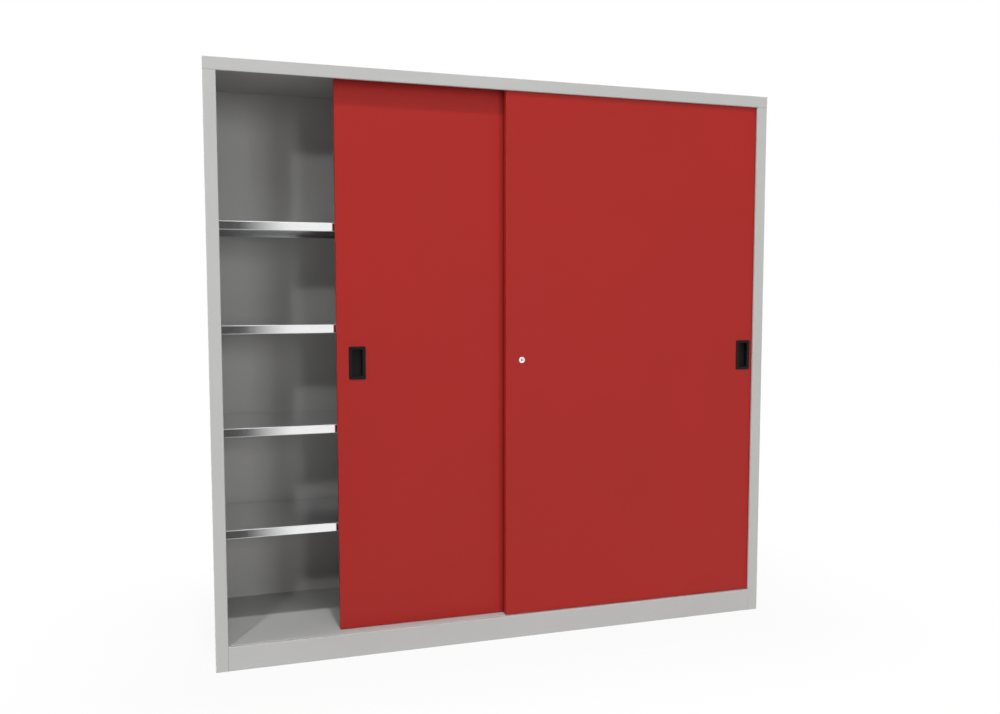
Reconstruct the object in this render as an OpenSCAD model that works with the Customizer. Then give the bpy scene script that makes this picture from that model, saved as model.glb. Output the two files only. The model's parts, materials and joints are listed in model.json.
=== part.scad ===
// Sheet-steel cabinet with two top-hung sliding doors and two bays of shelves.
// X runs from left to right, Y from front to back and Z up, in millimetres.
// The origin is the middle of the footprint, on the floor.
// The front door is drawn closed, and the rear door partly open.

/* [Cabinet] */
// Overall width
cabinet_w = 2000; // [1700:10:2400]
// Overall depth
cabinet_d = 500; // [420:10:600]
// Overall height
cabinet_h = 1950; // [1750:10:2100]

/* [Sheet metal] */
// Thickness of the folded steel sheet
sheet_t = 1; // [0.8:0.1:1.2]
// Inside radius of every bend
bend_r = 1.5; // [1:0.25:2]
// Room left between a flat edge and the inside of a bend
bend_clear = 0.5; // [0.3:0.1:1]

/* [Carcass] */
// Width of the front posts
post_w = 40; // [32:1:60]
// Height of the roof's edge, which is the top rail at the front
rail_h = 40; // [36:1:60]
// Height of the plinth, which is also the level of the cabinet's floor
plinth_h = 80; // [60:5:120]
// Depth of the sill on top of the plinth
sill_d = 12; // [9:1:20]
// Groove between the sill and the floor panel
sill_groove = 2; // [0.5:0.1:2.5]
// Height of the flange behind the sill and at the floor panel's edges
floor_flange = 25; // [15:1:40]
// Height of the floor panel's upstand against the back
floor_upstand = 18; // [10:1:30]
// Width of the flanges that stand on the floor
base_flange = 25; // [15:1:40]
// Width of the side panels' flanges behind the back
rear_flange = 30; // [20:1:40]
// Width of the flanges on which the roof is screwed
roof_flange = 24; // [18:1:30]
// Width of the partition's front flange
partition_front_flange = 10; // [6:1:11]
// Width of the partition's other flanges
partition_flange = 20; // [16:1:30]
// Gap between the two back panels
back_gap = 0.5; // [0.2:0.1:0.9]

/* [Doors] */
// Thickness of a door
door_t = 25; // [22:1:30]
// Distance of the front door's face behind the posts' face
door_setback = 10; // [8:1:14]
// Gap between the two doors
door_gap = 10; // [8:1:16]
// Overlap of the two doors when both are closed
door_overlap = 34; // [30:1:60]
// Gap between a closed door and the side panel
door_end_gap = 10; // [6:1:16]
// Gap between a door and the lips of the posts and the top rail
door_lip_gap = 2; // [1:0.5:4]
// Gap between a door and the sill
door_sill_gap = 2; // [1:0.5:5]
// Width of the lips at the back of a door's flanges
door_lip = 15; // [10:1:20]
// How far the rear door stands open
rear_door_open = 394; // [0:1:600]
// Width of the crown of the stiffener behind a door's skin
stiffener_w = 50; // [30:1:80]
// Width of the stiffener's welded flanges
stiffener_flange = 15; // [10:1:25]
// Depth of the stiffener
stiffener_d = 18; // [10:1:19]
// Height of the guide channel in the bottom of a door
channel_h = 25; // [20:1:40]

/* [Door gear] */
// Width of a top track
track_w = 31; // [29:0.5:32]
// Height of a top track
track_h = 23; // [22.5:0.5:25]
// Wall of a top track
track_t = 1.5; // [1:0.1:1.6]
// Width of the slot in the bottom of a top track
track_slot = 6; // [4:0.5:6]
// Room between a top track and the side panels
track_end_gap = 0.8; // [0.5:0.1:0.9]
// Number of rivets in each top track
track_rivets_each = 7; // [3:1:11]
// Diameter of a roller
roller_d = 18; // [16:0.5:18.5]
// Width of a roller's tread
roller_w = 7; // [5:0.5:8]
// Length of the hub on a roller's inner side
roller_hub = 1.7; // [1.7:0.1:2.5]
// Room under and beside a roller
roller_gap = 0.3; // [0.2:0.1:0.5]
// Diameter of a roller's axle
axle_d = 5; // [4:0.5:6]
// Diameter of the axle's riveted heads
axle_head_d = 8; // [7.5:0.5:10]
// Thickness of the axle's riveted heads
axle_head_t = 1; // [0.5:0.1:2]
// Radial clearance of an axle in its holes
axle_clear = 0.05; // [0.02:0.01:0.1]
// Thickness of a hanger's upright plate
hanger_t = 2; // [1.5:0.1:3]
// Width of a hanger's upright plate
hanger_w = 36; // [20:1:38]
// Thickness of a hanger's foot
hanger_foot_t = 3; // [2:0.5:4]
// Length of a hanger's foot
hanger_foot_l = 62; // [60:1:80]
// Width of a hanger's foot
hanger_foot_w = 19; // [14:1:20]
// Room between a hanger's foot and the track
hanger_foot_gap = 1; // [0.6:0.1:2]
// Distance of a hanger's middle from the door's edge
hanger_inset = 110; // [60:5:200]
// Distance between a hanger's two bolts
bolt_spacing = 44; // [44:1:48]
// Diameter of a hanger bolt
bolt_d = 5; // [4:0.5:6]
// Width of a hanger bolt's head across its flats
bolt_head_w = 8; // [8:0.5:10]
// Height of a hanger bolt's head
bolt_head_t = 3.5; // [2:0.5:5]
// Room between a floor guide and the channel that runs over it
guide_clear = 1; // [0.5:0.1:1.5]
// Room between a floor guide and the end of a door
guide_end_gap = 2; // [1:0.5:4]
// Height of a floor guide above the floor panel
guide_h = 20; // [12:1:20]
// Diameter of a floor guide's pegs
peg_d = 6; // [4:0.5:8]
// Length of a floor guide's pegs below the floor panel's face
peg_l = 6; // [3:0.5:10]
// Diameter of a rubber buffer
buffer_d = 14; // [10:1:20]
// Gap between a closed door and its buffer
buffer_gap = 0.5; // [0.3:0.1:0.9]
// Height of the buffers above the floor
buffer_z = 1000; // [300:10:1600]

/* [Handles and lock] */
// Height of the handles and the lock above the floor
grip_z = 989; // [700:1:1200]
// Width of a handle's rim
handle_w = 56; // [50:1:70]
// Height of a handle's rim
handle_h = 110; // [90:1:160]
// Distance of a handle's middle from the door's edge
handle_inset = 67; // [60:1:120]
// How far a handle's rim stands proud of the door
handle_proud = 3.5; // [2:0.5:5]
// Radius of the rim's corners
handle_corner = 4; // [3:0.5:6]
// Width of the opening for the fingers
grip_w = 34; // [28:1:38]
// Height of the opening for the fingers
grip_h = 90; // [70:1:94]
// Wall of the handle's cup
cup_wall = 2; // [1:0.5:3]
// Depth of the cup behind the door's face
cup_d = 20; // [14:1:21]
// Room between a handle's cup and the cut-out in the door
cup_clear = 0.4; // [0.2:0.1:0.8]
// Distance of the lock's axis from the door's edge
lock_inset = 58; // [45:1:100]
// Diameter of the lock's face ring
lock_ring_d = 22; // [21:0.5:26]
// Thickness of the lock's face ring
lock_ring_t = 2.5; // [1.5:0.5:4]
// Chamfer of the lock's face ring
lock_chamfer = 0.8; // [0.3:0.1:1.2]
// Diameter of the lock's barrel
lock_barrel_d = 18; // [16:0.5:19]
// Length of the lock's barrel behind the door's face
lock_barrel_l = 18; // [14:0.5:18]
// Diameter of the lock's plug
lock_plug_d = 12; // [10:0.5:14]
// Height of the keyhole
keyhole_h = 7; // [4:0.5:9]
// Width of the keyhole
keyhole_w = 1.6; // [1:0.1:2.5]
// Depth of the keyhole
keyhole_d = 9; // [4:1:12]
// Side of the square tail on the plug
lock_tail = 6; // [4:0.5:7]
// Width of the lock's nut across its flats
lock_nut_w = 24; // [22:1:30]
// Thickness of the lock's nut
lock_nut_t = 4; // [2:0.5:8]
// Thickness of the lock's cam
cam_t = 2; // [1:0.5:2.5]
// Width of the lock's cam
cam_w = 12; // [10:1:16]
// Length of the lock's cam from its axis
cam_l = 28; // [15:1:30]
// Room around the nut and the cam's square hole, and behind the barrel
lock_clear = 0.2; // [0.1:0.05:0.3]

/* [Shelves] */
// Height of the lowest shelf's top face above the floor
shelf_first = 439.5; // [300:0.5:480]
// Distance between shelves
shelf_pitch = 339; // [280:1:345]
// Thickness of a shelf
shelf_h = 29.5; // [20:0.5:45]
// Depth of the shelves' front edge behind the posts' face
shelf_front = 91; // [90:1:150]
// Gap between a shelf and the back panels
shelf_back_gap = 3; // [2.8:0.2:20]
// Gap between a shelf's end and the upright
shelf_end_gap = 2.5; // [1.6:0.1:4]
// Width of the lips that turn in under a shelf
shelf_lip = 18; // [12:1:30]
// Depth of an upright, from the wall to its slotted face
upright_d = 10; // [8:0.5:12]
// Width of an upright's slotted face
upright_w = 24; // [20:1:40]
// Width of an upright's welded flanges
upright_flange = 8; // [6:1:15]
// Distance of the uprights from the shelves' front and back edges
upright_inset = 30; // [20:5:100]
// Room between the uprights and the floor panel
upright_foot_gap = 0.6; // [0.3:0.1:0.9]
// Room between the uprights and the top rail's level
upright_top_gap = 20; // [5:5:100]
// Number of slots from one shelf to the next
slot_steps = 10; // [6:1:14]
// Width of a slot
slot_w = 9; // [7:0.5:12]
// Height of a slot
slot_h = 12; // [10:0.5:16]
// Room around a clip's hook in its slot
slot_clear = 0.5; // [0.3:0.1:0.9]
// Thickness of a shelf clip
clip_t = 1.5; // [1:0.1:1.5]
// Width of a shelf clip
clip_w = 18; // [12:1:20]
// Length of a shelf clip's ledge
clip_l = 20; // [15:1:30]
// Height of a shelf clip's leg
clip_h = 24; // [18:1:40]

/* [Rivets and screws] */
// Shank diameter of the rivets
rivet_d = 4; // [3:0.5:4.5]
// Head diameter of the rivets
rivet_head_d = 5.5; // [5:0.1:5.8]
// Head thickness of the rivets
rivet_head_t = 1.2; // [0.8:0.1:1.5]
// Number of rivets in each column of the back
back_rivets_each = 6; // [3:1:10]
// Shank diameter of the roof screws
screw_d = 5; // [4:0.5:6]
// Length of the roof screws' shank
screw_l = 12; // [6:1:20]
// Head diameter of the roof screws
screw_head_d = 9; // [8:0.5:12]
// Head thickness of the roof screws
screw_head_t = 3; // [2:0.5:4]
// Number of roof screws on each side
roof_screws_each = 3; // [2:1:6]
// Radial room around a rivet's or screw's shank
shank_clear = 0.1; // [0.05:0.05:0.3]

/* [Hidden] */

$fn = 48;
// Flat facets that stand for one bend
bend_steps = 4;
// How far a cutter reaches past the face that it cuts
cut = 1;
// Number of shelves in a bay
shelf_count = 4;

grey = [0.73, 0.73, 0.72];
red = [0.66, 0.19, 0.18];
zinc = [0.82, 0.83, 0.84];
black = [0.13, 0.13, 0.14];
steel = [0.62, 0.63, 0.65];
chrome = [0.9, 0.9, 0.9];
nylon = [0.9, 0.89, 0.85];

half_t = sheet_t / 2;
bend_out = bend_r + sheet_t;
corner_clear = bend_r + bend_clear;
half_w = cabinet_w / 2;
inner_w = half_w - sheet_t;
roof_z = cabinet_h - sheet_t;
side_h = cabinet_h - rail_h;
lip_d = door_setback - door_lip_gap;
front_y = -cabinet_d / 2;
rear_y = cabinet_d / 2;
back_y = rear_y - sheet_t;
back_face_y = back_y - sheet_t;

door_w = inner_w - door_end_gap + door_overlap / 2;
door_z = plinth_h + door_sill_gap;
track_z = roof_z - track_h;
door_top = track_z - hanger_foot_gap - hanger_foot_t;
axle_z = track_z + track_t + roller_gap + roller_d / 2;
front_door_x = -door_overlap / 2;
rear_door_x = door_end_gap - inner_w + rear_door_open;
front_door_y = front_y + door_setback;
rear_door_y = front_door_y + door_t + door_gap;
gear_y = rear_door_y + door_t + track_w / 2;
axle_half = hanger_t / 2 + roller_gap + roller_hub + roller_w + roller_gap;
guide_l = door_overlap - 2 * (sheet_t + corner_clear + guide_end_gap);

shelf_y = front_y + shelf_front;
shelf_back_y = back_face_y - shelf_back_gap;
partition_y = shelf_y + sheet_t;
bay_wall = [[-inner_w, -half_t], [half_t, inner_w]];
upright_span = upright_w + 2 * upright_flange;
upright_y = [shelf_y + upright_inset, shelf_back_y - upright_inset - upright_span];
upright_z = plinth_h + upright_foot_gap;
upright_top = side_h - upright_top_gap;
slot_pitch = shelf_pitch / slot_steps;
// Middle of the slot that carries the lowest shelf's clip
slot_first = shelf_first - shelf_h - clip_h / 2;
slots_below = floor((slot_first - slot_h - upright_z) / slot_pitch);
slots_above = floor((upright_top - slot_h - slot_first) / slot_pitch);
back_joint_x = partition_flange / 2;
roof_seat_y = [gear_y + roof_flange / 2, rear_y - roof_flange];

// Direction helpers for folded strips
function unit(v) = v / norm(v);
function left_of(v) = [-v[1], v[0]];
function turn_of(u, v) = sign(u[0] * v[1] - u[1] * v[0]);
function spin(v, a) = [v[0] * cos(a) - v[1] * sin(a), v[0] * sin(a) + v[1] * cos(a)];
function flipped(list) = [for (i = [len(list) - 1:-1:0]) list[i]];
function spread(low, high, count) = [for (i = [0:count - 1]) low + (high - low) * i / (count - 1)];

// Facet points of the bend at the middle of the corner a, p, b, on one side of the strip
function bend_points(a, p, b, side, t) =
    let(
        u = unit(p - a),
        v = unit(b - p),
        s = turn_of(u, v),
        angle = acos(u * v),
        r_mid = bend_r + t / 2,
        centre = p - u * r_mid * tan(angle / 2) + s * left_of(u) * r_mid,
        spoke = -s * left_of(u) * (r_mid - s * side * t / 2)
    )
    [for (k = [0:bend_steps]) centre + spin(spoke, s * angle * k / bend_steps)];

// One side of a strip folded along a path; side is 1 on the left of the path and -1 on its right
function strip_side(path, side, t) =
    let(n = len(path) - 1)
    [
        path[0] + side * t / 2 * left_of(unit(path[1] - path[0])),
        for (i = [1:n - 1]) each bend_points(path[i - 1], path[i], path[i + 1], side, t),
        path[n] + side * t / 2 * left_of(unit(path[n] - path[n - 1]))
    ];

// Section of a strip of sheet folded along the middle of its thickness
module strip(path, t = sheet_t) {
    polygon(concat(strip_side(path, 1, t), flipped(strip_side(path, -1, t))));
}

// Sections drawn in Y and Z and pulled along X, in X and Z along Y, and in X and Y along Z
module along_x(from, to) {
    translate([from, 0, 0]) rotate([90, 0, 90]) linear_extrude(to - from) children();
}

module along_y(from, to) {
    translate([0, to, 0]) rotate([90, 0, 0]) linear_extrude(to - from) children();
}

module along_z(from, to) {
    translate([0, 0, from]) linear_extrude(to - from) children();
}

module block(x, y, z) {
    translate([x[0], y[0], z[0]]) cube([x[1] - x[0], y[1] - y[0], z[1] - z[0]]);
}

// Round bar along X, Y or Z, starting at a point
module bar_x(at, d, l) {
    translate(at) rotate([0, 90, 0]) cylinder(d = d, h = l);
}

module bar_y(at, d, l) {
    translate(at) rotate([-90, 0, 0]) cylinder(d = d, h = l);
}

module bar_z(at, d, l) {
    translate(at) cylinder(d = d, h = l);
}

module rounded_plate(w, h, r) {
    square([w - 2 * r, h], center = true);
    square([w, h - 2 * r], center = true);
    for (x = [-1, 1], z = [-1, 1]) translate([x * (w / 2 - r), z * (h / 2 - r)]) circle(r);
}

// Both halves of a pair that mirror each other about the middle of the cabinet
module on_side(side) {
    mirror([side > 0 ? 1 : 0, 0, 0]) children();
}

module both_sides() {
    for (side = [-1, 1]) on_side(side) children();
}

// Places of the fasteners
roof_screw_x = -half_w + roof_flange / 2 + sheet_t;
roof_screw_y = spread(roof_seat_y[0] + roof_flange, roof_seat_y[1] - roof_flange, roof_screws_each);
side_rivet_x = -half_w + rear_flange / 2;
rivet_z = spread(plinth_h + 2 * floor_upstand, side_h - rail_h, back_rivets_each);
joint_rivet_x = [back_joint_x - partition_flange / 4, back_joint_x + partition_flange / 4];
track_rivet_x = spread(-inner_w + hanger_inset, inner_w - hanger_inset, track_rivets_each);
track_y = [front_door_y + door_t / 2, rear_door_y + door_t / 2];
hole_d = rivet_d + 2 * shank_clear;
screw_hole_d = screw_d + 2 * shank_clear;

module roof_screw_holes() {
    both_sides() for (y = roof_screw_y) {
        bar_z([roof_screw_x, y, side_h - sheet_t - cut], screw_hole_d, 2 * sheet_t + 2 * cut);
    }
}

module side_rivet_holes() {
    both_sides() for (z = rivet_z) {
        bar_y([side_rivet_x, back_face_y - cut, z], hole_d, 2 * sheet_t + 2 * cut);
    }
}

module joint_rivet_holes() {
    for (x = joint_rivet_x, z = rivet_z) {
        bar_y([x, back_face_y - sheet_t - cut, z], hole_d, 2 * sheet_t + 2 * cut);
    }
}

// Carcass

module side_panel(side) {
    post = -half_w + post_w - half_t;
    wall = -half_w + half_t;
    color(grey) difference() {
        on_side(side) {
            along_z(0, side_h) strip([
                [post, front_y + lip_d],
                [post, front_y + half_t],
                [wall, front_y + half_t],
                [wall, rear_y - half_t],
                [-half_w + rear_flange, rear_y - half_t]
            ]);
            block([wall, -half_w + base_flange], [front_y + half_t, rear_y - half_t], [0, sheet_t]);
            block([wall, -half_w + roof_flange], roof_seat_y, [side_h - sheet_t, side_h]);
        }
        roof_screw_holes();
        side_rivet_holes();
    }
}

module roof_panel() {
    edge = [
        [front_y + half_t, side_h],
        [front_y + half_t, cabinet_h - half_t],
        [rear_y - half_t, cabinet_h - half_t],
        [rear_y - half_t, side_h]
    ];
    color(grey) difference() {
        union() {
            along_x(-half_w, half_w) strip([
                [front_y + lip_d, side_h + half_t],
                [front_y + half_t, side_h + half_t],
                edge[1],
                edge[2],
                edge[3]
            ]);
            both_sides() {
                along_x(-half_w, -half_w + sheet_t) polygon(strip_side(edge, 1, sheet_t));
                block([-half_w + half_t, -half_w + roof_flange], roof_seat_y, [side_h, side_h + sheet_t]);
            }
        }
        roof_screw_holes();
        for (x = track_rivet_x, y = track_y) bar_z([x, y, roof_z - cut], hole_d, sheet_t + 2 * cut);
    }
}

module floor_panel() {
    floor_y = front_y + sill_d + sill_groove;
    level = plinth_h - half_t;
    wall = inner_w - half_t;
    color(grey) difference() {
        union() {
            along_x(-inner_w + corner_clear, inner_w - corner_clear) strip([
                [floor_y + half_t, plinth_h - floor_flange],
                [floor_y + half_t, level],
                [back_face_y - half_t, level],
                [back_face_y - half_t, plinth_h + floor_upstand]
            ]);
            along_y(floor_y + corner_clear, back_face_y - bend_out) strip([
                [-wall, plinth_h - floor_flange],
                [-wall, level],
                [wall, level],
                [wall, plinth_h - floor_flange]
            ]);
        }
        for (y = track_y, x = [-guide_l / 4, guide_l / 4]) {
            bar_z([x, y, plinth_h - sheet_t - cut], peg_d + 2 * shank_clear, sheet_t + 2 * cut);
        }
    }
}

module front_plinth() {
    end = half_w - post_w;
    color(grey) along_x(-end, end) strip([
        [front_y + base_flange, half_t],
        [front_y + half_t, half_t],
        [front_y + half_t, plinth_h - half_t],
        [front_y + sill_d - half_t, plinth_h - half_t],
        [front_y + sill_d - half_t, plinth_h - floor_flange]
    ]);
}

module rear_plinth() {
    end = half_w - base_flange - bend_clear;
    face = back_y - half_t;
    top = plinth_h - sheet_t - half_t;
    color(grey) along_x(-end, end) strip([
        [face - base_flange, half_t],
        [face, half_t],
        [face, top],
        [face - base_flange, top]
    ]);
}

module back_panel(side) {
    edge = inner_w - corner_clear;
    low = side < 0 ? -edge : back_joint_x + back_gap / 2;
    high = side < 0 ? back_joint_x - back_gap / 2 : edge;
    color(grey) difference() {
        block([low, high], [back_face_y, back_y], [plinth_h, roof_z - corner_clear]);
        side_rivet_holes();
        joint_rivet_holes();
    }
}

module centre_partition() {
    rear = back_face_y - half_t;
    roof_y = [partition_y + upright_inset, rear - upright_inset];
    foot_y = [upright_y[0] + upright_span + bend_clear, upright_y[1] - bend_clear];
    corner_y = [rear - bend_out, back_y];
    color(grey) difference() {
        union() {
            along_z(plinth_h, roof_z) strip([
                [partition_front_flange - half_t, partition_y + half_t],
                [0, partition_y + half_t],
                [0, rear],
                [partition_flange - half_t, rear]
            ]);
            block([0, partition_flange], roof_y, [roof_z - sheet_t, roof_z]);
            block([0, partition_flange], foot_y, [plinth_h, plinth_h + sheet_t]);
        }
        block([-sheet_t, partition_flange], corner_y, [0, plinth_h + floor_upstand + bend_clear]);
        block([-sheet_t, partition_flange], corner_y, [roof_z - corner_clear, cabinet_h]);
        joint_rivet_holes();
    }
}

// Slotted upright of hat section, whose face looks along X in the direction given
module upright(wall, direction, y) {
    seat = wall + direction * half_t;
    face = wall + direction * (upright_d - half_t);
    edge = [y, y + upright_flange, y + upright_flange + upright_w, y + upright_span];
    color(grey) difference() {
        along_z(upright_z, upright_top) strip([
            [seat, edge[0]],
            [seat, edge[1] + half_t],
            [face, edge[1] + half_t],
            [face, edge[2] - half_t],
            [seat, edge[2] - half_t],
            [seat, edge[3]]
        ]);
        for (k = [-slots_below:slots_above]) {
            translate([face, y + upright_span / 2, slot_first + k * slot_pitch]) {
                cube([sheet_t + 2 * cut, slot_w, slot_h], center = true);
            }
        }
    }
}

// Shelf folded from one sheet into a pan, with a flange and a lip on each side and open underneath
module shelf(bay, level) {
    x = [bay_wall[bay][0] + upright_d + shelf_end_gap, bay_wall[bay][1] - upright_d - shelf_end_gap];
    top = shelf_first + (level - 1) * shelf_pitch - half_t;
    under = top - shelf_h + sheet_t;
    front = shelf_y + half_t;
    back = shelf_back_y - half_t;
    color(zinc) {
        along_x(x[0] + bend_out, x[1] - bend_out) strip([
            [front + shelf_lip, under],
            [front, under],
            [front, top],
            [back, top],
            [back, under],
            [back - shelf_lip, under]
        ]);
        for (end = [0, 1]) translate([x[end], 0, 0]) mirror([end, 0, 0]) {
            along_y(shelf_y + bend_out, shelf_back_y - bend_out) strip([
                [half_t + shelf_lip, under],
                [half_t, under],
                [half_t, top],
                [2 * bend_out, top]
            ]);
        }
    }
}

// Clip that hooks into a slot and carries one corner of a shelf
module shelf_clip(wall, direction, y, seat_z) {
    slot_z = seat_z - clip_h / 2;
    width = [-clip_w / 2, clip_w / 2];
    hook_w = slot_w - 2 * slot_clear;
    hook = [-hook_w / 2, hook_w / 2];
    hook_z = [slot_z + slot_clear, slot_z + slot_h / 2 - slot_clear];
    reach = sheet_t + slot_clear + clip_t;
    translate([wall + direction * upright_d, y + upright_span / 2, 0]) {
        mirror([direction < 0 ? 1 : 0, 0, 0]) {
            block([0, clip_t], width, [seat_z - clip_h, seat_z]);
            block([0, clip_l], width, [seat_z - clip_t, seat_z]);
            block([-reach, clip_t], hook, hook_z);
            block([-reach, clip_t - reach], hook, [slot_z - slot_h / 2, hook_z[1]]);
        }
    }
}

module shelf_clips(bay) {
    color(zinc) for (y = upright_y, level = [0:shelf_count - 1]) {
        seat_z = shelf_first + level * shelf_pitch - shelf_h;
        shelf_clip(bay_wall[bay][0], 1, y, seat_z);
        shelf_clip(bay_wall[bay][1], -1, y, seat_z);
    }
}

// Door gear fixed to the carcass

module top_track(y) {
    end = inner_w - track_end_gap;
    half = track_w / 2 - track_t / 2;
    low = track_z + track_t / 2;
    high = roof_z - track_t / 2;
    color(steel) difference() {
        translate([0, y, 0]) along_x(-end, end) strip([
            [-track_slot / 2, low],
            [-half, low],
            [-half, high],
            [half, high],
            [half, low],
            [track_slot / 2, low]
        ], track_t);
        for (x = track_rivet_x) bar_z([x, y, roof_z - track_t - cut], hole_d, track_t + 2 * cut);
    }
}

module track_rivets() {
    color(steel) for (x = track_rivet_x, y = track_y) {
        bar_z([x, y, roof_z - track_t - rivet_head_t], rivet_head_d, rivet_head_t);
        bar_z([x, y, roof_z - track_t - half_t], rivet_d, track_t + sheet_t + half_t);
    }
}

module floor_guide(door_y) {
    y = [door_y + 2 * sheet_t + guide_clear, door_y + door_t - 2 * sheet_t - guide_clear];
    color(nylon) {
        block([-guide_l / 2, guide_l / 2], y, [plinth_h, plinth_h + guide_h]);
        for (x = [-guide_l / 4, guide_l / 4]) {
            bar_z([x, door_y + door_t / 2, plinth_h - peg_l], peg_d, peg_l + cut);
        }
    }
}

module door_buffers() {
    color(black) both_sides() for (y = track_y) {
        bar_x([-inner_w, y, buffer_z], buffer_d, door_end_gap - buffer_gap);
    }
}

module roof_screws() {
    color(steel) both_sides() for (y = roof_screw_y) {
        bar_z([roof_screw_x, y, side_h - sheet_t - screw_head_t], screw_head_d, screw_head_t);
        bar_z([roof_screw_x, y, side_h - sheet_t - half_t], screw_d, screw_l);
    }
}

module back_rivets() {
    color(steel) for (z = rivet_z) {
        both_sides() {
            bar_y([side_rivet_x, back_face_y - rivet_head_t, z], rivet_head_d, rivet_head_t);
            bar_y([side_rivet_x, back_face_y - half_t, z], rivet_d, 2 * sheet_t + half_t);
        }
        for (x = joint_rivet_x) {
            bar_y([x, back_face_y - sheet_t - rivet_head_t, z], rivet_head_d, rivet_head_t);
            bar_y([x, back_face_y - sheet_t - half_t, z], rivet_d, 2 * sheet_t + half_t);
        }
    }
}

// Doors, drawn from their own left front edge

module on_front_door() {
    translate([front_door_x, front_door_y, 0]) children();
}

module on_rear_door() {
    translate([rear_door_x, rear_door_y, 0]) children();
}

front_grip_x = door_w - handle_inset;
rear_grip_x = handle_inset;
hanger_x = [hanger_inset, door_w - hanger_inset];
bolt_x = [-bolt_spacing / 2, bolt_spacing / 2];
cup_w = grip_w + 2 * cup_wall;
cup_h = grip_h + 2 * cup_wall;
bolt_hole_d = bolt_d + 2 * shank_clear;

// Folded pan with its skin in front, lips behind its flanges and an open bottom
module door_panel(grip_x) {
    rear = door_t - half_t;
    color(red) difference() {
        union() {
            along_z(door_z, door_top - bend_out) strip([
                [door_lip, rear],
                [half_t, rear],
                [half_t, half_t],
                [door_w - half_t, half_t],
                [door_w - half_t, rear],
                [door_w - door_lip, rear]
            ]);
            along_x(bend_out, door_w - bend_out) strip([
                [half_t, door_top - 2 * bend_out],
                [half_t, door_top - half_t],
                [rear, door_top - half_t],
                [rear, door_top - door_lip]
            ]);
        }
        translate([grip_x, 0, grip_z]) along_y(-cut, sheet_t + cut) {
            rounded_plate(cup_w + 2 * cup_clear, cup_h + 2 * cup_clear, handle_corner + cup_clear);
        }
        for (x = hanger_x, step = bolt_x) {
            bar_z([x + step, door_t / 2, door_top - sheet_t - cut], bolt_hole_d, sheet_t + 2 * cut);
        }
    }
}

module front_door_panel() {
    on_front_door() difference() {
        door_panel(front_grip_x);
        bar_y([lock_inset, -cut, grip_z], lock_barrel_d + 2 * lock_clear, sheet_t + 2 * cut);
    }
}

module door_stiffener() {
    middle = door_w / 2;
    crown = stiffener_w / 2 - half_t;
    near = sheet_t + half_t;
    far = sheet_t + stiffener_d - half_t;
    color(red) along_z(door_z + channel_h, door_top - sheet_t - corner_clear) strip([
        [middle - crown - stiffener_flange, near],
        [middle - crown, near],
        [middle - crown, far],
        [middle + crown, far],
        [middle + crown, near],
        [middle + crown + stiffener_flange, near]
    ]);
}

module door_guide_channel() {
    near = sheet_t + half_t;
    far = door_t - sheet_t - half_t;
    top = door_z + channel_h - half_t;
    color(zinc) along_x(sheet_t + corner_clear, door_w - sheet_t - corner_clear) strip([
        [near, door_z],
        [near, top],
        [far, top],
        [far, door_z]
    ]);
}

module door_handle(grip_x) {
    color(black) translate([grip_x, 0, grip_z]) difference() {
        union() {
            along_y(-handle_proud, 0) rounded_plate(handle_w, handle_h, handle_corner);
            along_y(-half_t, cup_d) rounded_plate(cup_w, cup_h, handle_corner);
        }
        along_y(-handle_proud - cut, cup_d - cup_wall) {
            rounded_plate(grip_w, grip_h, handle_corner - half_t);
        }
    }
}

module door_hanger(x) {
    middle = door_t / 2;
    plate_y = [middle - hanger_t / 2, middle + hanger_t / 2];
    plate_z = [door_top + hanger_foot_t / 2, axle_z + axle_head_d];
    color(steel) translate([x, 0, 0]) difference() {
        union() {
            block(
                [-hanger_foot_l / 2, hanger_foot_l / 2],
                [middle - hanger_foot_w / 2, middle + hanger_foot_w / 2],
                [door_top, door_top + hanger_foot_t]
            );
            block([-hanger_w / 2, hanger_w / 2], plate_y, plate_z);
        }
        bar_y([0, plate_y[0] - cut, axle_z], axle_d + 2 * axle_clear, hanger_t + 2 * cut);
        for (step = bolt_x) bar_z([step, middle, door_top - cut], bolt_hole_d, hanger_foot_t + 2 * cut);
    }
}

module door_hanger_bolts() {
    color(steel) for (x = hanger_x, step = bolt_x) translate([x + step, door_t / 2, door_top - sheet_t]) {
        translate([0, 0, -bolt_head_t]) cylinder(d = bolt_head_w / cos(30), h = bolt_head_t, $fn = 6);
        translate([0, 0, -half_t]) cylinder(d = bolt_d, h = sheet_t + hanger_foot_t + half_t);
    }
}

module door_roller_axles() {
    color(steel) for (x = hanger_x) translate([x, door_t / 2, axle_z]) {
        bar_y([0, -axle_half, 0], axle_d, 2 * axle_half);
        for (start = [-axle_half - axle_head_t, axle_half]) bar_y([0, start, 0], axle_head_d, axle_head_t);
    }
}

// Two wheels on one axle, each with a hub towards the hanger
module door_rollers(x) {
    bore = axle_d / 2 + axle_clear;
    rim = roller_d / 2;
    soft_edge = roller_w / 10;
    start = hanger_t / 2 + roller_gap;
    tread = start + roller_hub;
    end = tread + roller_w;
    color(nylon) translate([x, door_t / 2, axle_z]) for (turned = [-90, 90]) rotate([turned, 0, 0]) {
        rotate_extrude() polygon([
            [bore, start],
            [axle_head_d / 2, start],
            [axle_head_d / 2, tread],
            [rim - soft_edge, tread],
            [rim, tread + soft_edge],
            [rim, end - soft_edge],
            [rim - soft_edge, end],
            [bore, end]
        ]);
    }
}

// Lock, drawn on its axis from the door's face

module at_lock() {
    on_front_door() translate([lock_inset, 0, grip_z]) children();
}

plug_end = lock_barrel_l + lock_clear;

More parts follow.
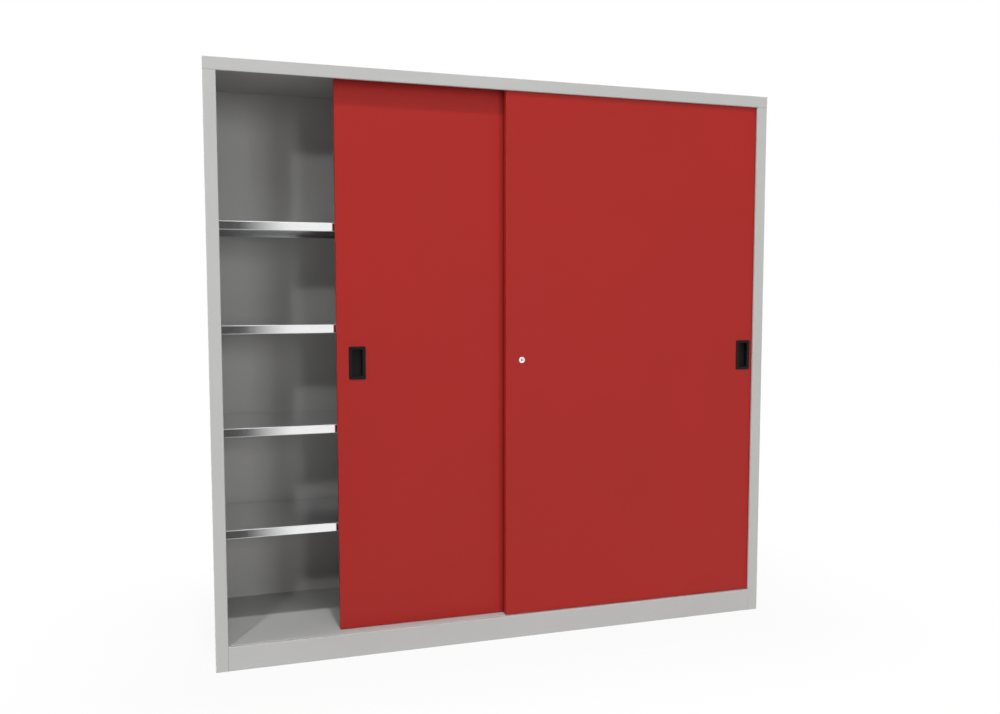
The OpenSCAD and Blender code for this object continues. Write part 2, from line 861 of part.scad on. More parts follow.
module lock_cylinder() {
    bore = lock_plug_d / 2 + axle_clear;
    ring = lock_ring_d / 2;
    color(chrome) at_lock() rotate([-90, 0, 0]) rotate_extrude() polygon([
        [bore, -lock_ring_t],
        [ring - lock_chamfer, -lock_ring_t],
        [ring, lock_chamfer - lock_ring_t],
        [ring, 0],
        [lock_barrel_d / 2, 0],
        [lock_barrel_d / 2, lock_barrel_l],
        [bore, lock_barrel_l]
    ]);
}

module lock_nut() {
    color(steel) at_lock() translate([0, sheet_t, 0]) rotate([-90, 0, 0]) difference() {
        cylinder(d = lock_nut_w / cos(30), h = lock_nut_t, $fn = 6);
        translate([0, 0, -cut]) cylinder(d = lock_barrel_d + 2 * lock_clear, h = lock_nut_t + 2 * cut);
    }
}

module lock_plug() {
    face = half_t - lock_ring_t;
    color(chrome) at_lock() difference() {
        union() {
            bar_y([0, face, 0], lock_plug_d, plug_end - face);
            block(
                [-lock_tail / 2, lock_tail / 2],
                [plug_end - half_t, plug_end + cam_t + 2 * lock_clear],
                [-lock_tail / 2, lock_tail / 2]
            );
        }
        block(
            [-keyhole_w / 2, keyhole_w / 2],
            [face - cut, face + keyhole_d],
            [-keyhole_h / 2, keyhole_h / 2]
        );
    }
}

module lock_cam() {
    eye = lock_tail / 2 + lock_clear;
    start = plug_end + lock_clear;
    color(steel) at_lock() difference() {
        block([-cam_w / 2, cam_w / 2], [start, start + cam_t], [-cam_l, cam_w / 2]);
        block([-eye, eye], [start - cut, start + cam_t + cut], [-eye, eye]);
    }
}

side_panel(-1);  // left_side_panel
side_panel(1);  // right_side_panel
roof_panel();
floor_panel();
front_plinth();
rear_plinth();
back_panel(-1);  // left_back_panel
back_panel(1);  // right_back_panel
centre_partition();
upright(bay_wall[0][0], 1, upright_y[0]);  // upright_left_front
upright(bay_wall[0][0], 1, upright_y[1]);  // upright_left_rear
upright(bay_wall[0][1], -1, upright_y[0]);  // upright_centre_left_front
upright(bay_wall[0][1], -1, upright_y[1]);  // upright_centre_left_rear
upright(bay_wall[1][0], 1, upright_y[0]);  // upright_centre_right_front
upright(bay_wall[1][0], 1, upright_y[1]);  // upright_centre_right_rear
upright(bay_wall[1][1], -1, upright_y[0]);  // upright_right_front
upright(bay_wall[1][1], -1, upright_y[1]);  // upright_right_rear
shelf(0, 1);  // shelf_left_1
shelf(0, 2);  // shelf_left_2
shelf(0, 3);  // shelf_left_3
shelf(0, 4);  // shelf_left_4
shelf(1, 1);  // shelf_right_1
shelf(1, 2);  // shelf_right_2
shelf(1, 3);  // shelf_right_3
shelf(1, 4);  // shelf_right_4
shelf_clips(0);  // shelf_clips_left
shelf_clips(1);  // shelf_clips_right
top_track(track_y[0]);  // front_top_track
top_track(track_y[1]);  // rear_top_track
track_rivets();
floor_guide(front_door_y);  // front_floor_guide
floor_guide(rear_door_y);  // rear_floor_guide
door_buffers();
roof_screws();
back_rivets();
front_door_panel();
on_front_door() door_stiffener();  // front_door_stiffener
on_front_door() door_guide_channel();  // front_door_guide_channel
on_front_door() door_handle(front_grip_x);  // front_door_handle
on_front_door() door_hanger(hanger_x[0]);  // front_hanger_left
on_front_door() door_hanger(hanger_x[1]);  // front_hanger_right
on_front_door() door_hanger_bolts();  // front_hanger_bolts
on_front_door() door_roller_axles();  // front_roller_axles
on_front_door() door_rollers(hanger_x[0]);  // front_rollers_left
on_front_door() door_rollers(hanger_x[1]);  // front_rollers_right
lock_cylinder();
lock_nut();
lock_plug();
lock_cam();
on_rear_door() door_panel(rear_grip_x);  // rear_door_panel
on_rear_door() door_stiffener();  // rear_door_stiffener
on_rear_door() door_guide_channel();  // rear_door_guide_channel
on_rear_door() door_handle(rear_grip_x);  // rear_door_handle
on_rear_door() door_hanger(hanger_x[0]);  // rear_hanger_left
on_rear_door() door_hanger(hanger_x[1]);  // rear_hanger_right
on_rear_door() door_hanger_bolts();  // rear_hanger_bolts
on_rear_door() door_roller_axles();  // rear_roller_axles
on_rear_door() door_rollers(hanger_x[0]);  // rear_rollers_left
on_rear_door() door_rollers(hanger_x[1]);  // rear_rollers_right
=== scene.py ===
import json
import math

import bmesh
import bpy
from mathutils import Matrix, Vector

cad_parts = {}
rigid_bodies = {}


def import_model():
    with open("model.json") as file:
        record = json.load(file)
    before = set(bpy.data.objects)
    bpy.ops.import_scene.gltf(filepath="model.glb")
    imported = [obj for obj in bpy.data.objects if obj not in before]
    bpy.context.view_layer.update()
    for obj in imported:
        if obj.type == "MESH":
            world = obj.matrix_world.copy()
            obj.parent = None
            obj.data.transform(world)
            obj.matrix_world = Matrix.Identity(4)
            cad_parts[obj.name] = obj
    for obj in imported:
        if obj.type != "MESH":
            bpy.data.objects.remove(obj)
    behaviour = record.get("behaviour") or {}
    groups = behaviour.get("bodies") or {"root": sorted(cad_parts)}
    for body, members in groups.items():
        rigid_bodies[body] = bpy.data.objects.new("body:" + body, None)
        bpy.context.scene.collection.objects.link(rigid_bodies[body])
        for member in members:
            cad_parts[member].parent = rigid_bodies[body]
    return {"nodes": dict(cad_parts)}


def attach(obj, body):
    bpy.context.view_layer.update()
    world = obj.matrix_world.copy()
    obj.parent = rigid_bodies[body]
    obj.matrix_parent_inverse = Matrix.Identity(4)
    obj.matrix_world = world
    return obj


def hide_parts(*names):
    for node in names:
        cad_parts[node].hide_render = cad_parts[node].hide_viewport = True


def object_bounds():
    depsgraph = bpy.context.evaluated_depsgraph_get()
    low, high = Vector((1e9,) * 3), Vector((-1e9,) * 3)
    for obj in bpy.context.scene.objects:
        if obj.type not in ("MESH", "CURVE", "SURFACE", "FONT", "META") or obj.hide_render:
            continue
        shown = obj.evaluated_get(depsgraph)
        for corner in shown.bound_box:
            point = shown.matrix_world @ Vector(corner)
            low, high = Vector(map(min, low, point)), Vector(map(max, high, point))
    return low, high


# The cabinet as it left the CAD: 2.00 m wide, 0.50 m deep and 1.95 m high, in metres, standing on Z = 0.
# Its front looks along -Y. Nothing that came from the CAD is moved; pieces made here stand for some of it.
for leftover in list(bpy.data.objects):
    bpy.data.objects.remove(leftover, do_unlink=True)
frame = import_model()
cad_low, cad_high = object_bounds()
MM = 0.001
SIDE_X = cad_high[0]
FRONT_Y = cad_low[1]
BACK_Y = cad_high[1]
TOP_Z = cad_high[2]
SHEET = 1.0 * MM


# Carcass: side panels with the front posts, roof, floor, plinths, backs, partition and slotted uprights.
# Folded from 1 mm steel sheet, spot-welded and riveted, then powder-coated light grey as a whole.
# The film is half matt with a fine peel and drifts a little in tone; along the bends it is lighter: partly
# a thinner film and partly a painted highlight.
GREY = (0.480, 0.481, 0.473, 1.0)
# Lighter grey mixed in along the bends: partly a thinner film, partly a painted highlight.
GREY_THIN_FILM_AND_HIGHLIGHT = (0.56, 0.562, 0.553, 1.0)
EDGE_R = 1.4 * MM
NOISE_SPAN = (0.3, 0.7)
CARCASS = [
    "left_side_panel", "right_side_panel", "roof_panel", "floor_panel", "front_plinth", "rear_plinth",
    "left_back_panel", "right_back_panel", "centre_partition",
    "upright_left_front", "upright_left_rear", "upright_right_front", "upright_right_rear",
    "upright_centre_left_front", "upright_centre_left_rear",
    "upright_centre_right_front", "upright_centre_right_rear",
]


def add(tree, kind, sockets=None, **settings):
    """New node with these settings; sockets gives its inputs a value or another node's output."""
    made = tree.nodes.new(kind)
    for label, value in settings.items():
        setattr(made, label, value)
    for label, value in (sockets or {}).items():
        if isinstance(value, bpy.types.NodeSocket):
            tree.links.new(value, made.inputs[label])
        else:
            made.inputs[label].default_value = value
    return made


def math_node(tree, operation, first, second):
    """Output of a sum, product or other operation on two values."""
    return add(tree, "ShaderNodeMath", {0: first, 1: second}, operation=operation).outputs[0]


def vector_node(tree, operation, *vectors):
    """Node for an operation on one or two vectors."""
    return add(tree, "ShaderNodeVectorMath", dict(enumerate(vectors)), operation=operation)


def ramp(tree, value, low, high, out_low, out_high):
    """Output that goes from out_low to out_high as the value goes from low to high."""
    sockets = {"Value": value, "From Min": low, "From Max": high, "To Min": out_low, "To Max": out_high}
    return add(tree, "ShaderNodeMapRange", sockets).outputs["Result"]


def scaled(tree, color, factor):
    """Output of a colour times a value."""
    sockets = {0: color, "Scale": factor}
    return add(tree, "ShaderNodeVectorMath", sockets, operation="SCALE").outputs["Vector"]


def blend_colors(tree, factor, first, second):
    """Output of a colour mix."""
    mixed = add(tree, "ShaderNodeMix", {0: factor, 6: first, 7: second}, data_type="RGBA")
    return mixed.outputs[2]


def noise(tree, place, scale, detail):
    """Output of a noise texture."""
    return add(tree, "ShaderNodeTexNoise", {"Vector": place, "Scale": scale, "Detail": detail}).outputs[0]


def bumped(tree, height, strength, distance):
    """Normal that follows a height."""
    sockets = {"Height": height, "Strength": strength, "Distance": distance}
    return add(tree, "ShaderNodeBump", sockets).outputs["Normal"]


def surface_group(name, inputs):
    """Shader node group for a surface, with named sockets; returns it with its inputs to read from."""
    group = bpy.data.node_groups.new(name, "ShaderNodeTree")
    for label, kind, value in inputs:
        socket = group.interface.new_socket(label, in_out="INPUT", socket_type=kind)
        socket.default_value = value
    group.interface.new_socket("Color", in_out="OUTPUT", socket_type="NodeSocketColor")
    group.interface.new_socket("Roughness", in_out="OUTPUT", socket_type="NodeSocketFloat")
    group.interface.new_socket("Normal", in_out="OUTPUT", socket_type="NodeSocketVector")
    return group, group.nodes.new("NodeGroupInput").outputs


def give(group, color, rough, normal):
    """Lead a surface group's results to its output."""
    result = group.nodes.new("NodeGroupOutput")
    group.links.new(color, result.inputs["Color"])
    group.links.new(rough, result.inputs["Roughness"])
    group.links.new(normal, result.inputs["Normal"])


def powder_film():
    """Powder coat: slow drift of tone and gloss, fine peel, and a lighter colour along the bends, partly a
    thinner film and partly a painted highlight.
    """
    group, given = surface_group(
        "Powder Film",
        [
            ("Color", "NodeSocketColor", (0.5, 0.5, 0.5, 1.0)),
            ("Edge Color", "NodeSocketColor", (0.6, 0.6, 0.6, 1.0)),
            ("Roughness", "NodeSocketFloat", 0.45),
            ("Peel", "NodeSocketFloat", 0.1),
        ],
    )
    place = add(group, "ShaderNodeTexCoord").outputs["Object"]
    drift = noise(group, place, 2.4, 3.0)
    peel = noise(group, place, 620.0, 2.0)
    soft = add(group, "ShaderNodeBevel", {"Radius": EDGE_R}, samples=4).outputs["Normal"]
    face = add(group, "ShaderNodeNewGeometry").outputs["Normal"]
    turned = vector_node(group, "DOT_PRODUCT", soft, face).outputs["Value"]
    # Bend mask: here the colour goes lighter, partly as a thinner film and partly as a painted highlight.
    bend_film_and_highlight = ramp(group, turned, 0.985, 0.80, 0.0, 0.3)
    tone = ramp(group, drift, *NOISE_SPAN, 0.975, 1.025)
    color = blend_colors(group, bend_film_and_highlight, scaled(group, given["Color"], tone), given["Edge Color"])
    gloss = math_node(group, "ADD", given["Roughness"], ramp(group, drift, *NOISE_SPAN, -0.03, 0.03))
    rough = math_node(group, "ADD", gloss, ramp(group, peel, *NOISE_SPAN, -0.02, 0.02))
    give(group, color, rough, bumped(group, peel, given["Peel"], 0.1 * MM))
    return group


def material(name, group, values, **constants):
    """Principled material: the group drives what varies over the surface, constants go on the shader."""
    made = bpy.data.materials.new(name)
    made.use_nodes = True
    tree = made.node_tree
    shader = tree.nodes["Principled BSDF"]
    effect = add(tree, "ShaderNodeGroup", node_tree=group)
    for label, value in values.items():
        effect.inputs[label].default_value = value
    tree.links.new(effect.outputs["Color"], shader.inputs["Base Color"])
    tree.links.new(effect.outputs["Roughness"], shader.inputs["Roughness"])
    tree.links.new(effect.outputs["Normal"], shader.inputs["Normal"])
    for label, value in constants.items():
        shader.inputs[label.replace("_", " ")].default_value = value
    return made


def wear(nodes, finish):
    """Give CAD nodes a material."""
    for name in nodes:
        place = frame["nodes"][name].material_slots[0]
        place.link = "OBJECT"
        place.material = finish


film = powder_film()
grey_paint = material(
    "grey powder coat", film,
    {"Color": GREY, "Edge Color": GREY_THIN_FILM_AND_HIGHLIGHT, "Roughness": 0.48, "Peel": 0.10},
    IOR=1.34,
)
wear(CARCASS, grey_paint)


# Shelves: shallow pans with lips, folded from hot-dip galvanised sheet and left bare and bright.
# The zinc is close to a mirror, with faint crystals that change its gloss, and dull where it was bent.
ZINC = (0.86, 0.865, 0.87, 1.0)
SHELVES = [
    "shelf_left_1", "shelf_left_2", "shelf_left_3", "shelf_left_4",
    "shelf_right_1", "shelf_right_2", "shelf_right_3", "shelf_right_4",
]


def zinc_sheet():
    """Galvanised face: crystals with their own tone and gloss, a faint waviness, duller zinc on bends."""
    group, given = surface_group(
        "Zinc Sheet",
        [
            ("Color", "NodeSocketColor", (0.8, 0.8, 0.8, 1.0)),
            ("Roughness", "NodeSocketFloat", 0.1),
            ("Crystals", "NodeSocketFloat", 110.0),
            ("Waviness", "NodeSocketFloat", 0.02),
            ("Bend Dulling", "NodeSocketFloat", 0.0),
        ],
    )
    coordinates = add(group, "ShaderNodeTexCoord")
    place = coordinates.outputs["Object"]
    crystal = add(group, "ShaderNodeTexVoronoi", {"Vector": place, "Scale": given["Crystals"]})
    grain = add(group, "ShaderNodeSeparateColor", {"Color": crystal.outputs["Color"]})
    tone = ramp(group, grain.outputs["Red"], 0.0, 1.0, 0.98, 1.0)
    gloss = ramp(group, grain.outputs["Green"], 0.0, 1.0, -0.012, 0.012)
    facing = vector_node(group, "ABSOLUTE", coordinates.outputs["Normal"])
    side = add(group, "ShaderNodeSeparateXYZ", {0: facing.outputs["Vector"]})
    upright = math_node(group, "MAXIMUM", side.outputs["Y"], side.outputs["Z"])
    straight = math_node(group, "MAXIMUM", upright, side.outputs["X"])
    bend = ramp(group, straight, 0.999, 0.97, 0.0, 1.0)
    dull = math_node(group, "MULTIPLY", bend, given["Bend Dulling"])
    rough = math_node(group, "ADD", math_node(group, "ADD", given["Roughness"], gloss), dull)
    wave = noise(group, place, 14.0, 1.0)
    give(group, scaled(group, given["Color"], tone), rough, bumped(group, wave, given["Waviness"], MM))
    return group


zinc = zinc_sheet()
galvanised_sheet = material(
    "galvanised sheet", zinc,
    {"Color": ZINC, "Roughness": 0.085, "Crystals": 110.0, "Waviness": 0.02, "Bend Dulling": 0.45},
    Metallic=1.0,
)
wear(SHELVES, galvanised_sheet)


# Shelf clips, top tracks and the channels in the doors' bottoms: bent from plated strip and left bare.
# Duller than the shelves, with the fine crystals and slight clouding of a thin zinc plating.
PLATING = (0.62, 0.625, 0.62, 1.0)
plated_steel = material(
    "plated steel", zinc,
    {"Color": PLATING, "Roughness": 0.32, "Crystals": 420.0, "Waviness": 0.05},
    Metallic=1.0,
)
wear(["shelf_clips_left", "shelf_clips_right", "front_top_track", "rear_top_track"], plated_steel)
wear(["front_door_guide_channel", "rear_door_guide_channel"], plated_steel)


# Rivets and screws: blind rivets hold the backs and the tracks, flanged hexagon screws hold the roof.
# The rivets' heads are domes with the stub of the mandrel in the middle; all are plated like the tracks.
RIVET_R = 2.0 * MM
RIVET_HEAD_R = 2.75 * MM
RIVET_HEAD_T = 1.2 * MM
# Shares of the head's radius and height, from the mandrel's stub out to the edge.
RIVET_DOME = [(0.42, 0.55), (0.45, 0.85), (0.62, 0.80), (0.85, 0.52), (1.0, 0.14), (0.98, 0.0)]
RIVET_SIDES = 20
BACK_RIVET_Z = [(116.0 + 350.8 * row) * MM for row in range(6)]
BACK_RIVET_X = SIDE_X - 15.0 * MM
BACK_RIVET_L = 2.0 * MM
LAP_RIVET_X = (5.0 * MM, 15.0 * MM)
TRACK_Y = (FRONT_Y + 22.5 * MM, FRONT_Y + 57.5 * MM)
TRACK_RIVET_X = [889.0 * MM * step / 3.0 for step in range(-3, 4)]
TRACK_RIVET_L = 2.5 * MM
SCREW_R = 2.5 * MM
SCREW_L = 11.5 * MM
SCREW_HEAD_R = 4.5 * MM
SCREW_HEAD_T = 3.0 * MM
SCREW_ACROSS = 6.4 * MM
SCREW_CROWN_R = 2.6 * MM
SCREW_SIDES = 12
SCREW_X = SIDE_X - 13.0 * MM
SCREW_Y = [(-128.5 + 165.25 * step) * MM for step in range(3)]
SCREW_Z = TOP_Z - 41.0 * MM
INTO_BACK = (0.0, 1.0, 0.0)
UP = (0.0, 0.0, 1.0)
SHARP_ANGLE = math.radians(35.0)


def circle(radius, along, count):
    """Points of a ring round the Z axis."""
    turn = 2.0 * math.pi / count
    return [Vector((radius * math.cos(turn * i), radius * math.sin(turn * i), along)) for i in range(count)]


def hexagon(across, along):
    """Twelve points of a hexagon's outline round the Z axis: its corners and the middles of its sides."""
    reach = across / math.sqrt(3.0)
    points = []
    for i in range(SCREW_SIDES):
        radius = reach if i % 2 == 0 else across / 2.0
        turn = 2.0 * math.pi / SCREW_SIDES * i
        points.append(Vector((radius * math.cos(turn), radius * math.sin(turn), along)))
    return points


def loft(mesh, rings, place, axis, closed=False):
    """Skin the rings at a place, their Z along the axis; cap both ends, or join the last to the first."""
    turn = Vector(UP).rotation_difference(Vector(axis))
    skinned = []
    for ring in rings:
        skinned.append([mesh.verts.new(turn @ point + Vector(place)) for point in ring])
    following = skinned[1:] + skinned[:1] if closed else skinned[1:]
    for first, second in zip(skinned, following):
        for i in range(len(first)):
            j = (i + 1) % len(first)
            mesh.faces.new((first[i], first[j], second[j], second[i]))
    if not closed:
        mesh.faces.new(list(reversed(skinned[0])))
        mesh.faces.new(skinned[-1])


def piece(name, mesh, finish, body, slot, *nodes):
    """Object from a bmesh, shaded smooth but for its sharp edges, that stands for CAD nodes on one body."""
    bmesh.ops.recalc_face_normals(mesh, faces=mesh.faces)
    data = bpy.data.meshes.new(name)
    mesh.to_mesh(data)
    mesh.free()
    data.polygons.foreach_set("use_smooth", [True] * len(data.polygons))
    data.set_sharp_from_angle(angle=SHARP_ANGLE)
    made = bpy.data.objects.new(name, data)
    bpy.context.scene.collection.objects.link(made)
    data.materials.append(finish)
    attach(made, body)
    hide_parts(*nodes)
    return made


def rivet(mesh, place, axis, shank):
    """Blind rivet: domed head below the place, shank along the axis."""
    rings = [circle(RIVET_HEAD_R * out, -RIVET_HEAD_T * up, RIVET_SIDES) for out, up in RIVET_DOME]
    rings.append(circle(RIVET_R, 0.0, RIVET_SIDES))
    rings.append(circle(RIVET_R, shank, RIVET_SIDES))
    loft(mesh, rings, place, axis)


def screw(mesh, place, axis, shank):
    """Flanged hexagon screw: head below the place, shank along the axis."""
    rings = [
        circle(SCREW_CROWN_R, -SCREW_HEAD_T, SCREW_SIDES),
        hexagon(SCREW_ACROSS, -0.86 * SCREW_HEAD_T),
        hexagon(SCREW_ACROSS, -0.36 * SCREW_HEAD_T),
        circle(SCREW_HEAD_R, -0.18 * SCREW_HEAD_T, SCREW_SIDES),
        circle(SCREW_HEAD_R, 0.0, SCREW_SIDES),
        circle(SCREW_R, 0.0, SCREW_SIDES),
        circle(SCREW_R, shank, SCREW_SIDES),
    ]
    loft(mesh, rings, place, axis)


back_rivets = bmesh.new()
for z in BACK_RIVET_Z:
    for x in (-BACK_RIVET_X, BACK_RIVET_X):
        rivet(back_rivets, (x, BACK_Y - 2.0 * SHEET, z), INTO_BACK, BACK_RIVET_L)
    for x in LAP_RIVET_X:
        rivet(back_rivets, (x, BACK_Y - 3.0 * SHEET, z), INTO_BACK, BACK_RIVET_L)
piece("back_rivet_set", back_rivets, plated_steel, "carcass", "plated_steel", "back_rivets")

track_rivets = bmesh.new()
for x in TRACK_RIVET_X:
    for y in TRACK_Y:
        rivet(track_rivets, (x, y, TOP_Z - TRACK_RIVET_L), UP, TRACK_RIVET_L)
piece("track_rivet_set", track_rivets, plated_steel, "carcass", "plated_steel", "track_rivets")

roof_screws = bmesh.new()
for x in (-SCREW_X, SCREW_X):
    for y in SCREW_Y:
        screw(roof_screws, (x, y, SCREW_Z), UP, SCREW_L)
piece("roof_screw_set", roof_screws, plated_steel, "carcass", "plated_steel", "roof_screws")


# Floor guides and door buffers: the doors' bottom channels run over nylon blocks pegged into the floor,
# and soft rubber buffers stuck in the side panels stop them. Both are moulded, with a fine satin grain.
NYLON = (0.74, 0.73, 0.69, 1.0)
RUBBER = (0.022, 0.022, 0.023, 1.0)
BUFFER_R = 7.0 * MM
BUFFER_L = 9.5 * MM
BUFFER_Z = 1000.0 * MM
BUFFER_SIDES = 28
# Shares of the radius and length, from the side panel out to the dome.
BUFFER_SHAPE = [
    (0.92, 0.0), (1.0, 0.06), (1.0, 0.62), (0.94, 0.80), (0.78, 0.93), (0.50, 0.99), (0.15, 1.0),
]


def moulded_grain():
    """Moulded plastic or rubber: fine grain with its own shine, and a slow change of tone from the flow."""
    group, given = surface_group(
        "Moulded Grain",
        [
            ("Color", "NodeSocketColor", (0.5, 0.5, 0.5, 1.0)),
            ("Roughness", "NodeSocketFloat", 0.5),
            ("Grain Scale", "NodeSocketFloat", 1500.0),
            ("Grain Depth", "NodeSocketFloat", 0.1),
        ],
    )
    place = add(group, "ShaderNodeTexCoord").outputs["Object"]
    grain = noise(group, place, given["Grain Scale"], 2.0)
    flow = noise(group, place, 45.0, 2.0)
    tone = ramp(group, flow, *NOISE_SPAN, 0.90, 1.10)
    shine = ramp(group, grain, *NOISE_SPAN, -0.06, 0.06)
    rough = math_node(group, "ADD", given["Roughness"], shine)
    normal = bumped(group, grain, given["Grain Depth"], 0.1 * MM)
    give(group, scaled(group, given["Color"], tone), rough, normal)
    return group


moulded = moulded_grain()
nylon = material(
    "nylon", moulded,
    {"Color": NYLON, "Roughness": 0.42, "Grain Scale": 900.0, "Grain Depth": 0.08},
    IOR=1.53, Subsurface_Weight=0.08,
)
rubber = material(
    "rubber", moulded,
    {"Color": RUBBER, "Roughness": 0.72, "Grain Scale": 1400.0, "Grain Depth": 0.25},
    IOR=1.5,
)
wear(["front_floor_guide", "rear_floor_guide"], nylon)

buffers = bmesh.new()
for way in (1.0, -1.0):
    for y in TRACK_Y:
        rings = [circle(BUFFER_R * out, BUFFER_L * along, BUFFER_SIDES) for out, along in BUFFER_SHAPE]
        loft(buffers, rings, (-way * (SIDE_X - SHEET), y, BUFFER_Z), (way, 0.0, 0.0))
piece("door_buffer_set", buffers, rubber, "carcass", "rubber", "door_buffers")


# Doors: flat pans folded from 1 mm sheet with a top-hat stiffener welded behind the skin.
# Powder-coated ruby red before the gear is bolted on; same film as the carcass, a touch glossier.
RED = (0.345, 0.0175, 0.0138, 1.0)
# Lighter red mixed in along the bends: partly a thinner film, partly a painted highlight.
RED_THIN_FILM_AND_HIGHLIGHT = (0.42, 0.022, 0.020, 1.0)
FRONT_DOOR_Y = FRONT_Y + 10.0 * MM
REAR_DOOR_Y = FRONT_Y + 45.0 * MM
red_paint = material(
    "red powder coat", film,
    {"Color": RED, "Edge Color": RED_THIN_FILM_AND_HIGHLIGHT, "Roughness": 0.46, "Peel": 0.10},
    IOR=1.34,
)
wear(["front_door_panel", "front_door_stiffener", "rear_door_panel", "rear_door_stiffener"], red_paint)


# Hangers and rollers: a bracket with two bolts on each top corner, and a pair of nylon wheels on its axle.
# Stamped and plated steel; the wheels spin on the riveted axles and run on the track's two ledges.
wear(["front_hanger_left", "front_hanger_right", "front_hanger_bolts", "front_roller_axles"], plated_steel)
wear(["rear_hanger_left", "rear_hanger_right", "rear_hanger_bolts", "rear_roller_axles"], plated_steel)
wear(["front_rollers_left", "front_rollers_right", "rear_rollers_left", "rear_rollers_right"], nylon)


# Handles: recessed pulls moulded in black plastic and snapped into the door from the front.
# A raised rim with rounded edges, an opening for the fingers, and a cup that narrows a little inwards.
BLACK = (0.0062, 0.0063, 0.0066, 1.0)
HANDLE_Z = 989.0 * MM
FRONT_PULL_X = 922.0 * MM
REAR_PULL_X = -528.0 * MM
RIM = (56.0, 110.0)
CUP = (38.0, 94.0)
OPENING = (34.0, 90.0)
CUP_FLOOR = (33.2, 89.0)
CORNER_STEPS = 6
black_plastic = material(
    "black plastic", moulded,
    {"Color": BLACK, "Roughness": 0.50, "Grain Scale": 1300.0, "Grain Depth": 0.15},
    Specular_IOR_Level=0.15,
)


def rounded_ring(width, height, corner, along):
    """Points of a rounded rectangle round the Z axis, its width along X and its height along Y."""
    points = []
    for quarter in range(4):
        middle_x = (width / 2.0 - corner) * (1.0 if quarter in (0, 3) else -1.0)
        middle_y = (height / 2.0 - corner) * (1.0 if quarter in (0, 1) else -1.0)
        for step in range(CORNER_STEPS + 1):
            turn = math.pi / 2.0 * (quarter + step / CORNER_STEPS)
            point = Vector((middle_x + corner * math.cos(turn), middle_y + corner * math.sin(turn), along))
            points.append(point)
    return points


def facing_front(ring):
    """Turn a ring so that its Z looks out of the front."""
    return [Vector((point.x, -point.z, point.y)) for point in ring]


def handle_rings():
    """Rings of the pull, from the back of its cup out to the rim and in to the cup's floor.

    Each row gives an outline, what is added to its width and height, the corner's radius and the place
    along the depth, in millimetres.
    """
    rows = [
        (CUP, -3.0, 3.0, -20.0), (CUP, -0.8, 3.6, -19.4), (CUP, 0.0, 4.0, -18.0), (CUP, 0.0, 4.0, 0.0),
        (RIM, -0.6, 3.7, 0.0), (RIM, 0.0, 4.0, 0.3), (RIM, 0.0, 4.0, 2.0),
        (RIM, -0.4, 3.8, 2.75), (RIM, -1.4, 3.4, 3.3), (RIM, -2.8, 3.2, 3.5),
        (OPENING, 3.4, 4.4, 3.5), (OPENING, 1.6, 3.9, 3.2),
        (OPENING, 0.5, 3.6, 2.4), (OPENING, 0.0, 3.5, 1.2),
        (CUP_FLOOR, 0.0, 3.4, -15.5), (CUP_FLOOR, -0.8, 3.2, -17.0),
        (CUP_FLOOR, -2.6, 2.6, -17.8), (CUP_FLOOR, -4.6, 2.2, -18.0),
    ]
    rings = []
    for (width, height), more, corner, along in rows:
        rings.append(rounded_ring((width + more) * MM, (height + more) * MM, corner * MM, along * MM))
    return rings


def pull(name, x, y, body, node):
    """One handle, set in a door's face."""
    mesh = bmesh.new()
    loft(mesh, [facing_front(ring) for ring in handle_rings()], (x, y, HANDLE_Z), UP)
    piece(name, mesh, black_plastic, body, "black_plastic", node)


pull("front_pull", FRONT_PULL_X, FRONT_DOOR_Y, "front_door", "front_door_handle")
pull("rear_pull", REAR_PULL_X, REAR_DOOR_Y, "rear_door", "rear_door_handle")


# Lock: a cylinder lock pushed through the front door, held by a nut behind the skin.
# Turned brass with bright chrome. The plug turns in it with the cam on its square tail; its key opening and
# the slot for the key are painted near-black as painted shade.
CHROME = (0.88, 0.88, 0.87, 1.0)
# Near-black painted shade for the key opening and its slot.
KEYHOLE_SHADE = (0.035, 0.034, 0.032, 1.0)
LOCK = Vector((41.0 * MM, FRONT_DOOR_Y, HANDLE_Z))
LOCK_SIDES = 48
BORE_R = 6.2 * MM
BARREL_R = 9.0 * MM
BARREL_L = 18.0 * MM
RING_R = 11.0 * MM
RING_T = 2.5 * MM
PLUG_R = 6.0 * MM
PLUG_OUT = 2.0 * MM
PLUG_L = 18.2 * MM
TAIL_HALF = 3.0 * MM
TAIL_END = 20.6 * MM
KEY_OPENING = (2.3 * MM, 3.9 * MM)
KEY_SLOT = (0.8 * MM, 3.5 * MM)
KEY_SLOT_DEPTH = 7.0 * MM
KEYHOLE_FLOOR_OUT = PLUG_OUT - 0.7 * MM
SLACK = 0.1 * MM
lock_chrome = material(
    "lock chrome", zinc,
    {"Color": CHROME, "Roughness": 0.16, "Crystals": 2600.0, "Waviness": 0.02},
    Metallic=1.0,
)
keyhole_shade = material(
    "keyhole painted shade", zinc,
    {"Color": KEYHOLE_SHADE, "Roughness": 0.55, "Crystals": 2600.0, "Waviness": 0.02},
    Metallic=0.6,
)
wear(["lock_nut", "lock_cam"], plated_steel)

barrel = bmesh.new()
barrel_profile = [
    (BORE_R, -BARREL_L), (BARREL_R, -BARREL_L), (BARREL_R, 0.0),
    (RING_R - 0.2 * MM, 0.0), (RING_R, 0.2 * MM), (RING_R, 1.3 * MM), (RING_R - 0.2 * MM, 1.9 * MM),
    (RING_R - 0.7 * MM, 2.35 * MM), (RING_R - 1.4 * MM, RING_T),
    (BORE_R + 1.2 * MM, RING_T), (BORE_R + 0.4 * MM, 2.3 * MM), (BORE_R, 1.9 * MM),
]
rings = [facing_front(circle(radius, out, LOCK_SIDES)) for radius, out in barrel_profile]
loft(barrel, rings, LOCK, UP, closed=True)
piece("lock_barrel", barrel, lock_chrome, "front_door", "lock_chrome", "lock_cylinder")


